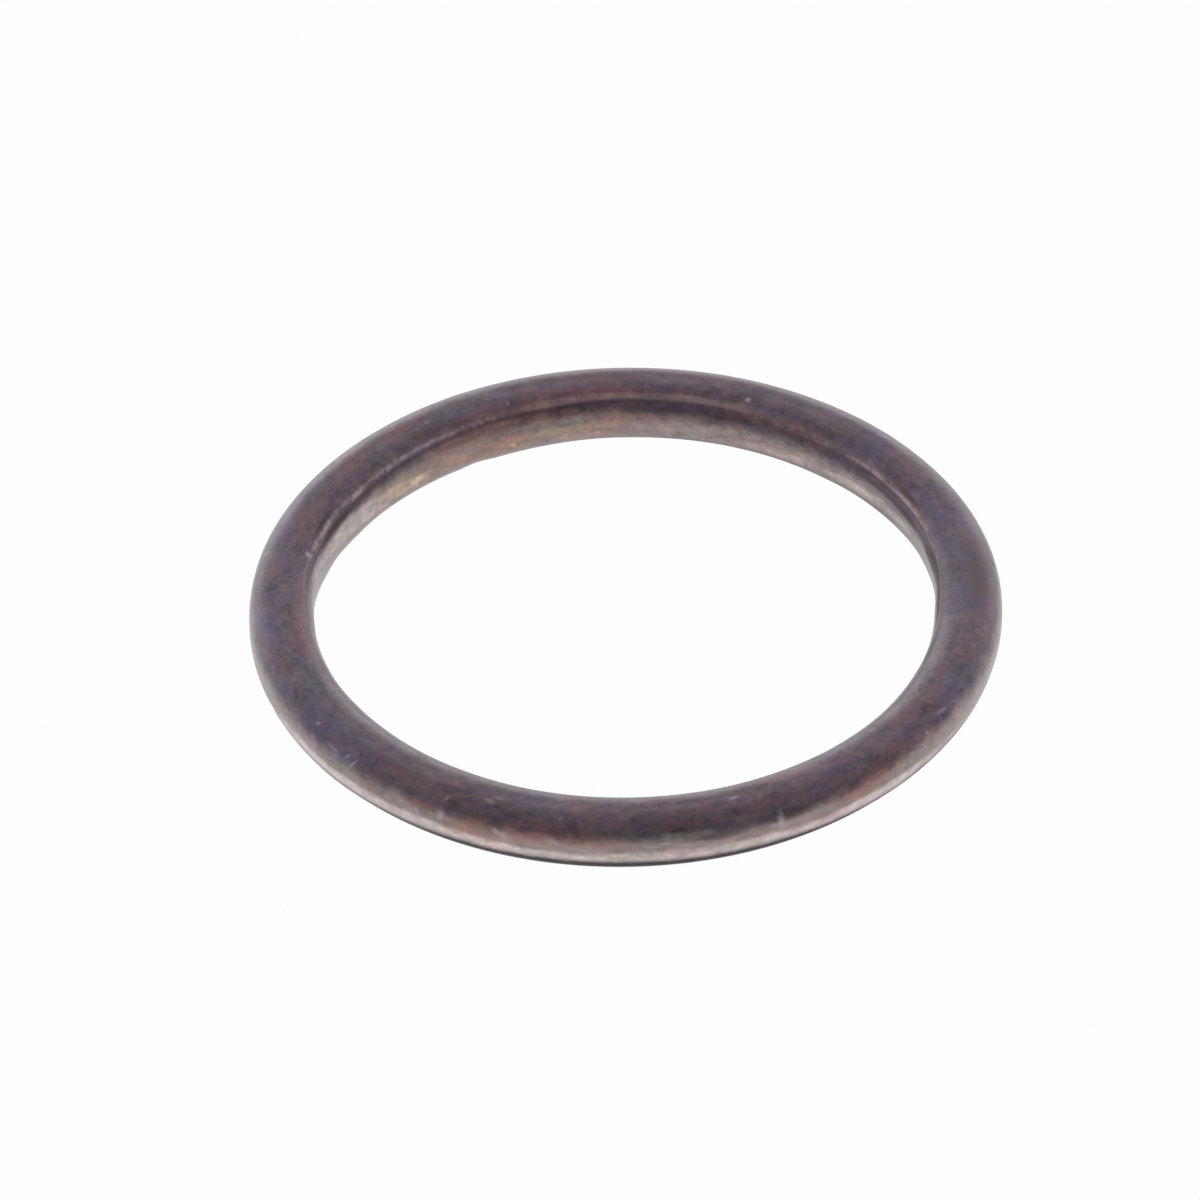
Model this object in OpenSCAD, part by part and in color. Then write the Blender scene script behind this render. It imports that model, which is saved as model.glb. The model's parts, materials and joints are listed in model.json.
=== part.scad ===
// Ring gasket for an exhaust port, rolled from copper sheet.
// The ring lies on its lower sealing face: the origin is the bore's centre at that face, and +Z is the bore's axis.
// A section is drawn with x as the distance from the bore's axis and y as the height above the lower face.

/* [Ring] */
// Diameter of the bore, across the inner wall
bore_d = 38; // [28:0.5:60]
// Width of the section, from the bore to the outer rim
section_w = 3.95; // [3.65:0.05:6]
// Height of the section, from the lower to the upper sealing face
section_h = 3.7; // [3.5:0.1:5]

/* [Shoulders] */
// Radius of the two outer shoulders, between the rim and the sealing faces
outer_shoulder_r = 1.7; // [1.2:0.05:1.8]
// Radius of the lower inner shoulder, between the bore and the lower sealing face
lower_inner_shoulder_r = 1.1; // [0.8:0.05:1.7]
// Radius of the upper inner shoulder, which the lapped edge ends on
upper_inner_shoulder_r = 1.65; // [1.2:0.05:1.9]

/* [Lapped edge] */
// Angle of the lapped edge round the upper inner shoulder, above the level of the bore's wall
lap_angle = 38; // [30:1:60]
// Step from the lapped edge down to the sheet that it lies on
lap_step = 0.09; // [0.05:0.01:0.14]

/* [Hidden] */
$fn = 180;

bore_r = bore_d / 2;
rim_r = bore_r + section_w;

// The sheet under the lap turns in on a larger radius, so that it lies one step below the lap at the lapped edge.
tucked_shoulder_r = upper_inner_shoulder_r + lap_step / (cos(lap_angle) + sin(lap_angle) - 1);

// How far a cutting shape reaches past the metal that it cuts.
cut_margin = 1;

// A square corner at the origin less the quarter round that stays: what rounding the corner takes away.
module corner_waste(r) {
    difference() {
        translate([-cut_margin, -cut_margin]) square(r + cut_margin);
        translate([r, r]) circle(r);
    }
}

// The pressed section, with the upper inner shoulder at the given radius.
module pressed_section(upper_inner_r) {
    difference() {
        translate([bore_r, 0]) square([section_w, section_h]);
        translate([bore_r, 0]) corner_waste(lower_inner_shoulder_r);
        translate([bore_r, section_h]) mirror([0, 1]) corner_waste(upper_inner_r);
        translate([rim_r, 0]) mirror([1, 0]) corner_waste(outer_shoulder_r);
        translate([rim_r, section_h]) rotate(180) corner_waste(outer_shoulder_r);
    }
}

// The lapped sheet: a sector of the upper inner shoulder that ends in a rolled edge one step thick.
module lap_section() {
    turn_x = bore_r + upper_inner_shoulder_r;
    turn_y = section_h - upper_inner_shoulder_r;
    edge_turn_r = upper_inner_shoulder_r - lap_step;
    land_x = rim_r - outer_shoulder_r;
    intersection() {
        pressed_section(upper_inner_shoulder_r);
        translate([turn_x, turn_y])
            polygon([
                [0, 0],
                section_w * [-cos(lap_angle), sin(lap_angle)],
                [-section_w * cos(lap_angle), section_h],
                [land_x - turn_x, section_h],
                [land_x - turn_x, 0]
            ]);
    }
    translate([turn_x - edge_turn_r * cos(lap_angle), turn_y + edge_turn_r * sin(lap_angle)])
        circle(lap_step);
}

module gasket_ring() {
    color("#5c4a4a")
        rotate_extrude()
            union() {
                pressed_section(tucked_shoulder_r);
                lap_section();
            }
}

gasket_ring();
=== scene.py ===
"""Dresses a rolled copper gasket ring for an exhaust port, and sets the studio that it lies in.

Marks are placed on the ring's sheet by azimuth and reach. An azimuth is in degrees from +X, anticlockwise
seen from above. A reach is a length along the section's outline, from the lower face over the outer rim and
the upper face into the bore. Reaches and the other lengths in the lists of marks are in millimetres.
"""

import json
import math
from types import SimpleNamespace

import bmesh
import bpy
from mathutils import Matrix, Vector, noise


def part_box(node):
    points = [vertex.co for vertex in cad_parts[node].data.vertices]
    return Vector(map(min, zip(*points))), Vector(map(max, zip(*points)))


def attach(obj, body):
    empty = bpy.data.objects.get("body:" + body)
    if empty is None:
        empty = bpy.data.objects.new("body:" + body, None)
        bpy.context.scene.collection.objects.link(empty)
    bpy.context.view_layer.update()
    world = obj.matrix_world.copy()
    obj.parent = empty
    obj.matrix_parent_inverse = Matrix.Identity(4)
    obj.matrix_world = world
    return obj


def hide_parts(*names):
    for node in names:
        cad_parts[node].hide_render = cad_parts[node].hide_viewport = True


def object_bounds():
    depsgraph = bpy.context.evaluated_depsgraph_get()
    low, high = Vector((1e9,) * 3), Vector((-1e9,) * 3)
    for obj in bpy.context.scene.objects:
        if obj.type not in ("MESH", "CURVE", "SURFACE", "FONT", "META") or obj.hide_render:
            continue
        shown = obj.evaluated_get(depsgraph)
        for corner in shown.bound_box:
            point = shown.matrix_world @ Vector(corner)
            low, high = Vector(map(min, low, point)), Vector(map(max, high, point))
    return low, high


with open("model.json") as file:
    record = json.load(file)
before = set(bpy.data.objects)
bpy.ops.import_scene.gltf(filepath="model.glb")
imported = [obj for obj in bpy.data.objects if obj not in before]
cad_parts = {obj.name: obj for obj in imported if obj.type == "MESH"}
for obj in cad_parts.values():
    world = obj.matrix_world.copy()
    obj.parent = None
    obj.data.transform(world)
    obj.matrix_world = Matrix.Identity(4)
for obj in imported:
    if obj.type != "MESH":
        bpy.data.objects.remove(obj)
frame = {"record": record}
cad_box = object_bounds()

bl_info = {
    "name": "Rolled copper gasket ring",
    "version": (1, 0, 0),
    "blender": (4, 5, 0),
    "location": "3D View > Sidebar > Gasket",
    "description": "Rolls a heat-tinted copper gasket ring with a lapped edge, and sets a plain studio",
    "category": "Object",
}

# Blender's lengths are in metres.
MM = 0.001

NODE = "gasket_ring"
BODY = "root"

SHEET_MAP = "Sheet"
BAKE_MAP = "OFBake"
REACH = "reach"
MERGE_DISTANCE = 0.001 * MM
QUARTER = math.pi / 2

mounts = {mount["name"]: mount for mount in frame["record"]["mounts"]}


# Sizes and colours

class RingSizes(bpy.types.PropertyGroup):
    bore_r: bpy.props.FloatProperty(
        name="Bore radius",
        description="Radius of the inner wall",
        default=mounts["bore"]["dims"]["r_mm"] * MM,
        unit="LENGTH",
    )
    rim_r: bpy.props.FloatProperty(
        name="Rim radius",
        description="Radius of the outer wall",
        default=mounts["outer_rim"]["dims"]["r_mm"] * MM,
        unit="LENGTH",
    )
    height: bpy.props.FloatProperty(
        name="Height",
        description="Height between the two sealing faces",
        default=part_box(NODE)[1].z,
        unit="LENGTH",
    )
    outer_shoulder_r: bpy.props.FloatProperty(
        name="Outer shoulders",
        description="Radius of both outer shoulders",
        default=1.7 * MM,
        unit="LENGTH",
    )
    lower_inner_shoulder_r: bpy.props.FloatProperty(
        name="Lower inner shoulder",
        description="Radius between the bore and the lower sealing face",
        default=1.1 * MM,
        unit="LENGTH",
    )
    upper_inner_shoulder_r: bpy.props.FloatProperty(
        name="Upper inner shoulder",
        description="Radius of the lapped sheet between the bore and the upper sealing face",
        default=1.65 * MM,
        unit="LENGTH",
    )
    lap_angle: bpy.props.FloatProperty(
        name="Lap angle",
        description="Mean angle of the lapped edge above the level of the bore's wall",
        default=math.radians(38),
        subtype="ANGLE",
    )
    lap_step: bpy.props.FloatProperty(
        name="Lap step",
        description="Step from the lapped edge down to the sheet below",
        default=0.09 * MM,
        unit="LENGTH",
    )
    sector_slices: bpy.props.IntProperty(
        name="Slices per sector",
        description="Steps of the section's spin through one sector of the ring",
        default=90,
        min=8,
    )


class CopperFinish(bpy.types.PropertyGroup):
    plum: bpy.props.FloatVectorProperty(
        name="Plum oxide",
        description="Main colour of the heated copper",
        default=(0.110, 0.0765, 0.112),
        subtype="COLOR",
    )
    brown: bpy.props.FloatVectorProperty(
        name="Brown oxide",
        description="Warmer tint in the clouds of the main colour",
        default=(0.128, 0.0805, 0.0915),
        subtype="COLOR",
    )
    green_tint: bpy.props.FloatVectorProperty(
        name="Green tint",
        description="Faint greenish drift of the oxide, as a factor on the colour below",
        default=(0.91, 1.02, 0.97),
        subtype="COLOR",
    )
    dull_tint: bpy.props.FloatVectorProperty(
        name="Dull tint",
        description="Greenish grey of the dullest patches, as a factor on the colour below",
        default=(0.86, 1.00, 0.96),
        subtype="COLOR",
    )
    violet_tint: bpy.props.FloatVectorProperty(
        name="Violet tint",
        description="Cooler heat tint in wide patches, as a factor on the colour below",
        default=(0.90, 0.96, 1.15),
        subtype="COLOR",
    )
    red_tint: bpy.props.FloatVectorProperty(
        name="Red tint",
        description="Red-brown bloom in mottled patches, as a factor on the colour below",
        default=(1.18, 0.86, 0.79),
        subtype="COLOR",
    )
    gold_tint: bpy.props.FloatVectorProperty(
        name="Gold tint",
        description="Warm tint of thin oxide in the bore and low outside, as a factor on the colour below",
        default=(1.08, 0.99, 0.78),
        subtype="COLOR",
    )
    # The walls' beige is partly wear and partly a painted reflection of the bright floor that the walls
    # mirror; above the lip it also paints a highlight.
    rubbed_and_sheen: bpy.props.FloatVectorProperty(
        name="Rubbed walls",
        description="Beige of the two walls, where the oxide is thin",
        default=(0.300, 0.232, 0.222),
        subtype="COLOR",
    )
    # The pale edge is partly wear and partly a painted reflection of the bright floor on the lower outer
    # shoulder and the bore's foot.
    pale: bpy.props.FloatVectorProperty(
        name="Pale edge",
        description="Pinkish beige of the lower outer shoulder and the bore's foot",
        default=(0.610, 0.495, 0.480),
        subtype="COLOR",
    )
    # Along the inner upper rim this grey is thin oxide; along the far side's upper outer shoulder it is a
    # painted highlight.
    film_and_sheen: bpy.props.FloatVectorProperty(
        name="Thin film",
        description="Grey of the thinnest oxide, along both upper shoulders",
        default=(0.188, 0.158, 0.180),
        subtype="COLOR",
    )
    # This lilac grey colours the scratches and also paints the highlight along the lip's worn edge.
    scratched_and_highlight: bpy.props.FloatVectorProperty(
        name="Scratches",
        description="Lilac grey of scratches and of the worn lip and highlight",
        default=(0.445, 0.365, 0.410),
        subtype="COLOR",
    )
    bare: bpy.props.FloatVectorProperty(
        name="Bare copper",
        description="Metal that shows in small spots where the oxide is rubbed off",
        default=(0.600, 0.450, 0.320),
        subtype="COLOR",
    )
    # This dark is dirt in the specks and dark scratches, and painted shade beside the lap, at the bore's
    # edge and over the upper face near azimuth 0.
    soot_and_shade: bpy.props.FloatVectorProperty(
        name="Soot",
        description="Dark dirt beside the lap and in specks",
        default=(0.050, 0.038, 0.042),
        subtype="COLOR",
    )
    roughness: bpy.props.FloatProperty(
        name="Roughness",
        description="Roughness of the plain oxide",
        default=0.39,
        min=0.0,
        max=1.0,
        subtype="FACTOR",
    )
    coat: bpy.props.FloatProperty(
        name="Coat",
        description="Strength of the glassy oxide coat where no soot lies on it",
        default=0.6,
        min=0.0,
        max=1.0,
        subtype="FACTOR",
    )
    coat_roughness: bpy.props.FloatProperty(
        name="Coat roughness",
        description="Roughness of the glassy oxide coat",
        default=0.34,
        min=0.0,
        max=1.0,
        subtype="FACTOR",
    )


class StudioSettings(bpy.types.PropertyGroup):
    elevation: bpy.props.FloatProperty(
        name="Camera elevation",
        description="Angle of the camera above the floor",
        default=math.radians(38.9),
        subtype="ANGLE",
    )
    roll: bpy.props.FloatProperty(
        name="Camera roll",
        description="Turn of the camera round its own line of sight",
        default=math.radians(-1.0),
        subtype="ANGLE",
    )
    distance: bpy.props.FloatProperty(
        name="Camera distance",
        description="Distance from the camera to the ring's centre",
        default=0.84,
        unit="LENGTH",
    )
    aim_left: bpy.props.FloatProperty(
        name="Aim to the left",
        description="How far left of the ring's centre the picture's centre lies",
        default=1.552 * MM,
        unit="LENGTH",
    )
    aim_up: bpy.props.FloatProperty(
        name="Aim above",
        description="How far above the ring's centre the picture's centre lies",
        default=0.690 * MM,
        unit="LENGTH",
    )
    lens: bpy.props.FloatProperty(
        name="Lens",
        description="Focal length in millimetres on a 36 mm sensor",
        default=412.6,
    )
    floor_size: bpy.props.FloatProperty(
        name="Floor size",
        description="Side of the square floor",
        default=6.0,
        unit="LENGTH",
    )
    floor_colour: bpy.props.FloatVectorProperty(
        name="Floor",
        description="Colour of the floor",
        default=(0.983, 0.983, 1.0),
        subtype="COLOR",
    )
    shadow_edge: bpy.props.FloatProperty(
        name="Shadow's edge",
        description="How far under the ring its shadow on the floor begins",
        default=0.94 * MM,
        unit="LENGTH",
    )
    shadow_shift: bpy.props.FloatVectorProperty(
        name="Shadow's shift",
        description="How far the shadow's middle lies beside the ring's",
        default=(-0.08 * MM, -0.03 * MM, 0.0),
        subtype="XYZ",
        unit="LENGTH",
    )
    shadow_fringe: bpy.props.FloatProperty(
        name="Shadow's fringe",
        description="How far beside the ring the floor is dimmer as the metal mirrors it",
        default=0.75 * MM,
        unit="LENGTH",
    )
    near_sky: bpy.props.FloatVectorProperty(
        name="Light, camera's side",
        description="Light from the camera's direction",
        default=(0.44, 0.44, 0.46),
        subtype="COLOR",
    )
    far_sky: bpy.props.FloatVectorProperty(
        name="Light, far side",
        description="Light from the direction opposite the camera's",
        default=(1.09, 1.09, 1.11),
        subtype="COLOR",
    )
    near_horizon: bpy.props.FloatVectorProperty(
        name="Horizon, camera's side",
        description="Light along the floor from the camera's side",
        default=(0.04, 0.04, 0.04),
        subtype="COLOR",
    )
    far_horizon: bpy.props.FloatVectorProperty(
        name="Horizon, far side",
        description="Light along the floor from the far side",
        default=(2.0, 2.0, 2.04),
        subtype="COLOR",
    )
    light_turn: bpy.props.FloatProperty(
        name="Light's turn",
        description="How far the brightest part of the horizon is turned to the left of the far side",
        default=math.radians(12),
        subtype="ANGLE",
    )


# Shader maths

# The Mix node's sockets for colours go by number, because its other kinds of sockets have the same names.
MIX_FACTOR = 0
MIX_FIRST = 6
MIX_SECOND = 7
MIX_RESULT = 2


def rgba(colour):
    """A colour as a socket takes it, with nothing see-through."""
    return (*colour, 1.0)


class Wire:
    """A node's output, with Python's arithmetic for the ones that carry a number."""

    def __init__(self, bench, socket):
        self.bench = bench
        self.socket = socket

    def __add__(self, other):
        return self.bench.math("ADD", self, other)

    __radd__ = __add__

    def __sub__(self, other):
        return self.bench.math("SUBTRACT", self, other)

    def __rsub__(self, other):
        return self.bench.math("SUBTRACT", other, self)

    def __mul__(self, other):
        return self.bench.math("MULTIPLY", self, other)

    __rmul__ = __mul__

    def __truediv__(self, other):
        return self.bench.math("DIVIDE", self, other)

    def __pow__(self, other):
        return self.bench.math("POWER", self, other)

    def __abs__(self):
        return self.bench.math("ABSOLUTE", self)


class Bench:
    """Lays out one node tree."""

    def __init__(self, tree):
        self.tree = tree
        tree.nodes.clear()

    def node(self, kind, settings=None, values=None):
        """Adds a node, sets it up, and then fills its sockets with values or wires."""
        made = self.tree.nodes.new(kind)
        for name, setting in (settings or {}).items():
            setattr(made, name, setting)
        for name, value in (values or {}).items():
            if isinstance(value, Wire):
                self.tree.links.new(value.socket, made.inputs[name])
            else:
                made.inputs[name].default_value = value
        return made

    def out(self, made, name=0):
        """One of a node's outputs."""
        return Wire(self, made.outputs[name])

    def math(self, operation, *values):
        made = self.node("ShaderNodeMath", {"operation": operation}, dict(enumerate(values)))
        return self.out(made)

    def vector(self, operation, *values, result=0):
        made = self.node("ShaderNodeVectorMath", {"operation": operation}, dict(enumerate(values)))
        return self.out(made, result)

    def dot(self, a, b):
        return self.vector("DOT_PRODUCT", a, b, result="Value")

    def fade(self, value, low, high, first=0.0, last=1.0):
        """A soft step from the first value at low to the last one at high."""
        values = {"Value": value, "From Min": low, "From Max": high, "To Min": first, "To Max": last}
        return self.out(self.node("ShaderNodeMapRange", {"interpolation_type": "SMOOTHSTEP"}, values))

    def fade_out(self, value, low, high):
        """A soft step from 1 at low to 0 at high."""
        return self.fade(value, low, high, 1.0, 0.0)

    def mix(self, factor, a, b, blend="MIX"):
        made = self.node(
            "ShaderNodeMix",
            {"data_type": "RGBA", "blend_type": blend, "clamp_factor": True},
            {MIX_FACTOR: factor, MIX_FIRST: a, MIX_SECOND: b},
        )
        return self.out(made, MIX_RESULT)

    def cover(self, colour, share, paint):
        """Lays a paint over a colour."""
        return self.mix(share, colour, rgba(paint))

    def tint(self, colour, share, factor):
        """Multiplies a colour by a tint."""
        return self.mix(share, colour, rgba(factor), "MULTIPLY")

    def scale(self, vector, factor):
        made = self.node("ShaderNodeVectorMath", {"operation": "SCALE"}, {0: vector, "Scale": factor})
        return self.out(made)

    def noise(self, place, scale, detail=2.0, roughness=0.5, result=0):
        values = {"Vector": place, "Scale": scale, "Detail": detail, "Roughness": roughness}
        return self.out(self.node("ShaderNodeTexNoise", {"noise_dimensions": "3D"}, values), result)

    def attribute(self, name):
        return self.out(self.node("ShaderNodeAttribute", {"attribute_name": name}), "Fac")


# The ring's form

# Steps along each stretch of the section's outline, from the lower face round to the bore's lower shoulder.
LOWER_FACE_STEPS = 5
LOWER_OUTER_STEPS = 15
RIM_STEPS = 2
UPPER_OUTER_STEPS = 19
UPPER_FACE_STEPS = 4
LAP_STEPS = 11
LIP_STEPS = 4
TUCKED_STEPS = 10
WALL_STEPS = 6
LOWER_INNER_STEPS = 12

# The section is swept through one sector, and the sector is copied round.
SECTORS = 12

# How far the lapped edge strays from its mean angle, in degrees, by azimuth.
LAP_STRAY = (
    (8, -4), (20, -2), (34, -3.5), (49, -1), (67, 2), (80, 4), (90, 6), (104, 3.5), (120, 5.5),
    (147, 4.5), (156, 6), (170, 5), (215, -2), (260, -5), (310, -1),
)

# The share of the lap's step that is worn or pressed away, by azimuth.
LAP_WEAR = ((20, 0.1), (50, 0.35), (66, 0.8), (90, 0.85), (112, 0.85), (128, 0.45), (160, 0.35), (200, 0.1))

# How much wider the section is than its mean, in millimetres, by azimuth.
WIDTH_STRAY = (
    (0, 0.13), (14, 0.13), (40, 0.02), (90, 0.0), (140, 0.0), (163, 0.06), (183, 0.06), (203, 0.08),
    (220, 0.20), (238, 0.16), (255, 0.12), (270, 0.06), (290, 0.05), (320, 0.02), (344, 0.04),
)

# How much further out the bore's wall lies than its mean, in millimetres, by azimuth.
BORE_STRAY = (
    (11, 0.19), (22, 0.25), (34, 0.20), (52, -0.06), (70, -0.13), (92, -0.26), (110, -0.38), (128, -0.31),
    (148, -0.18), (160, 0.04), (172, 0.16), (184, 0.02), (200, -0.08), (235, -0.08), (262, -0.04),
    (290, 0.0), (318, -0.02), (340, -0.13), (356, -0.07),
)

# The rolled sheet's unevenness: the size of each sort of swell and how far it stands out, in millimetres.
SWELLS = ((5.0, 0.014), (1.6, 0.005), (0.7, 0.0022))

# Dents, each with its azimuth, reach, half length along the ring, half width and depth.
DENTS = (
    (6.2, 5.2, 0.35, 0.3, 0.06),
    (42, 6, 0.6, 0.4, 0.03),
    (67, 7.9, 0.22, 0.25, 0.03),
    (110.8, 8.1, 0.35, 0.3, 0.03),
    (118.4, 11.75, 1.5, 0.7, 0.07),
    (167.8, 8.5, 0.3, 0.25, 0.04),
    (168.2, 5.5, 0.3, 0.25, 0.03),
    (200, 3.2, 0.7, 0.4, 0.04),
    (218, 5.2, 0.6, 0.2, 0.02),
    (236.2, 4.2, 0.5, 0.45, 0.03),
    (293.4, 4.4, 0.22, 0.42, 0.035),
    (310, 2.4, 0.6, 0.5, 0.04),
    (328, 5.6, 0.6, 0.2, 0.02),
)

# The bake's map lays the sheet out in rows, with margins as shares of a row's length and width.
BAKE_ROWS = 3
BAKE_END_MARGIN = 0.01
BAKE_SIDE_MARGIN = 0.02


def between_stations(stations, azimuth):
    """The value at an azimuth, by soft steps between (azimuth, value) stations round the ring."""
    azimuth = azimuth % 360
    last_place, last_value = stations[-1][0] - 360, stations[-1][1]
    for place, value in (*stations, (stations[0][0] + 360, stations[0][1])):
        if azimuth <= place:
            share = (azimuth - last_place) / (place - last_place)
            soft = share * share * (3 - 2 * share)
            return last_value + (value - last_value) * soft
        last_place, last_value = place, value
    raise ValueError("the stations are not in order")


class Outline:
    """The section's outline, drawn stretch by stretch in the XZ plane, with a reach on each vertex."""

    def __init__(self, bm, x, z):
        self.bm = bm
        self.reach = bm.verts.layers.float.new(REACH)
        self.last = bm.verts.new((x, 0, z))

    def spin(self, steps, **how):
        """Goes on from the last vertex, and notes the reach of the new ones."""
        bmesh.ops.spin(self.bm, geom=[self.last], axis=(0, -1, 0), steps=steps, **how)
        self.bm.verts.ensure_lookup_table()
        for vert in self.bm.verts[-steps:]:
            vert[self.reach] = self.last[self.reach] + (vert.co - self.last.co).length / MM
            self.last = vert

    def turn(self, x, z, angle, steps):
        """An arc round a centre."""
        self.spin(steps, cent=(x, 0, z), angle=angle)

    def run_to(self, x, z, steps):
        """A straight stretch to a place."""
        self.spin(steps, cent=self.last.co, angle=0, dvec=(Vector((x, 0, z)) - self.last.co) / steps)


def draw_section(bm, sizes):
    """Draws the closed section, and returns the reaches where its lip starts and ends and its whole length.

    The sheet under the lap turns in on a larger radius, so that it lies about one step lower at the lip.
    """
    inner_x, outer_x, top_z = sizes.bore_r, sizes.rim_r, sizes.height
    outer_r = sizes.outer_shoulder_r
    lower_r = sizes.lower_inner_shoulder_r
    lap_r = sizes.upper_inner_shoulder_r
    angle, step = sizes.lap_angle, sizes.lap_step
    tucked_r = lap_r + step / (math.cos(angle) + math.sin(angle) - 1)
    lip_x = inner_x + lap_r - (lap_r - step) * math.cos(angle)
    lip_z = top_z - lap_r + (lap_r - step) * math.sin(angle)
    tucked_x, tucked_z = inner_x + tucked_r, top_z - tucked_r

    line = Outline(bm, inner_x + lower_r, 0)
    line.run_to(outer_x - outer_r, 0, LOWER_FACE_STEPS)
    line.turn(outer_x - outer_r, outer_r, QUARTER, LOWER_OUTER_STEPS)
    line.run_to(outer_x, top_z - outer_r, RIM_STEPS)
    line.turn(outer_x - outer_r, top_z - outer_r, QUARTER, UPPER_OUTER_STEPS)
    line.run_to(inner_x + lap_r, top_z, UPPER_FACE_STEPS)
    line.turn(inner_x + lap_r, top_z - lap_r, QUARTER - angle, LAP_STEPS)
    lip_start = line.last[line.reach]
    line.turn(lip_x, lip_z, QUARTER, LIP_STEPS)
    lip_end = line.last[line.reach]
    above_level = math.atan2(line.last.co.z - tucked_z, tucked_x - line.last.co.x)
    line.turn(tucked_x, tucked_z, above_level, TUCKED_STEPS)
    line.run_to(inner_x, lower_r, WALL_STEPS)
    line.turn(inner_x + lower_r, lower_r, QUARTER, LOWER_INNER_STEPS)
    reaches = SimpleNamespace(lip_start=lip_start, lip_end=lip_end, whole=line.last[line.reach])
    bmesh.ops.remove_doubles(bm, verts=bm.verts, dist=MERGE_DISTANCE)
    return reaches


def sweep_ring(bm, sector_slices):
    """Sweeps the drawn section through one sector, and copies the sector round to a closed ring."""
    about = {"cent": (0, 0, 0), "axis": (0, 0, 1)}
    sector = math.tau / SECTORS
    profile = bm.verts[:] + bm.edges[:]
    bmesh.ops.spin(bm, geom=profile, angle=sector, steps=sector_slices, **about)
    swept = bm.verts[:] + bm.edges[:] + bm.faces[:]
    rest = {"angle": math.tau - sector, "steps": SECTORS - 1}
    bmesh.ops.spin(bm, geom=swept, use_duplicate=True, **rest, **about)
    bmesh.ops.remove_doubles(bm, verts=bm.verts, dist=MERGE_DISTANCE)
    bmesh.ops.recalc_face_normals(bm, faces=bm.faces)
    if any(len(edge.link_faces) != 2 for edge in bm.edges):
        raise RuntimeError("the ring isn't closed")


def azimuth_of(place):
    """A place's azimuth, from 0 to 360 degrees."""
    return math.degrees(math.atan2(place.y, place.x)) % 360


def apart(azimuth, other):
    """The difference of two azimuths, from -180 to 180 degrees."""
    return (azimuth - other + 180) % 360 - 180


def within(share, margin):
    """A share of a stretch that keeps a margin at both of its ends."""
    return margin + (1 - 2 * margin) * share


def place_at(vert, radius, height):
    """Moves a vertex within its own slice of the ring."""
    share = radius / math.hypot(vert.co.x, vert.co.y)
    vert.co = (vert.co.x * share, vert.co.y * share, height)


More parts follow.
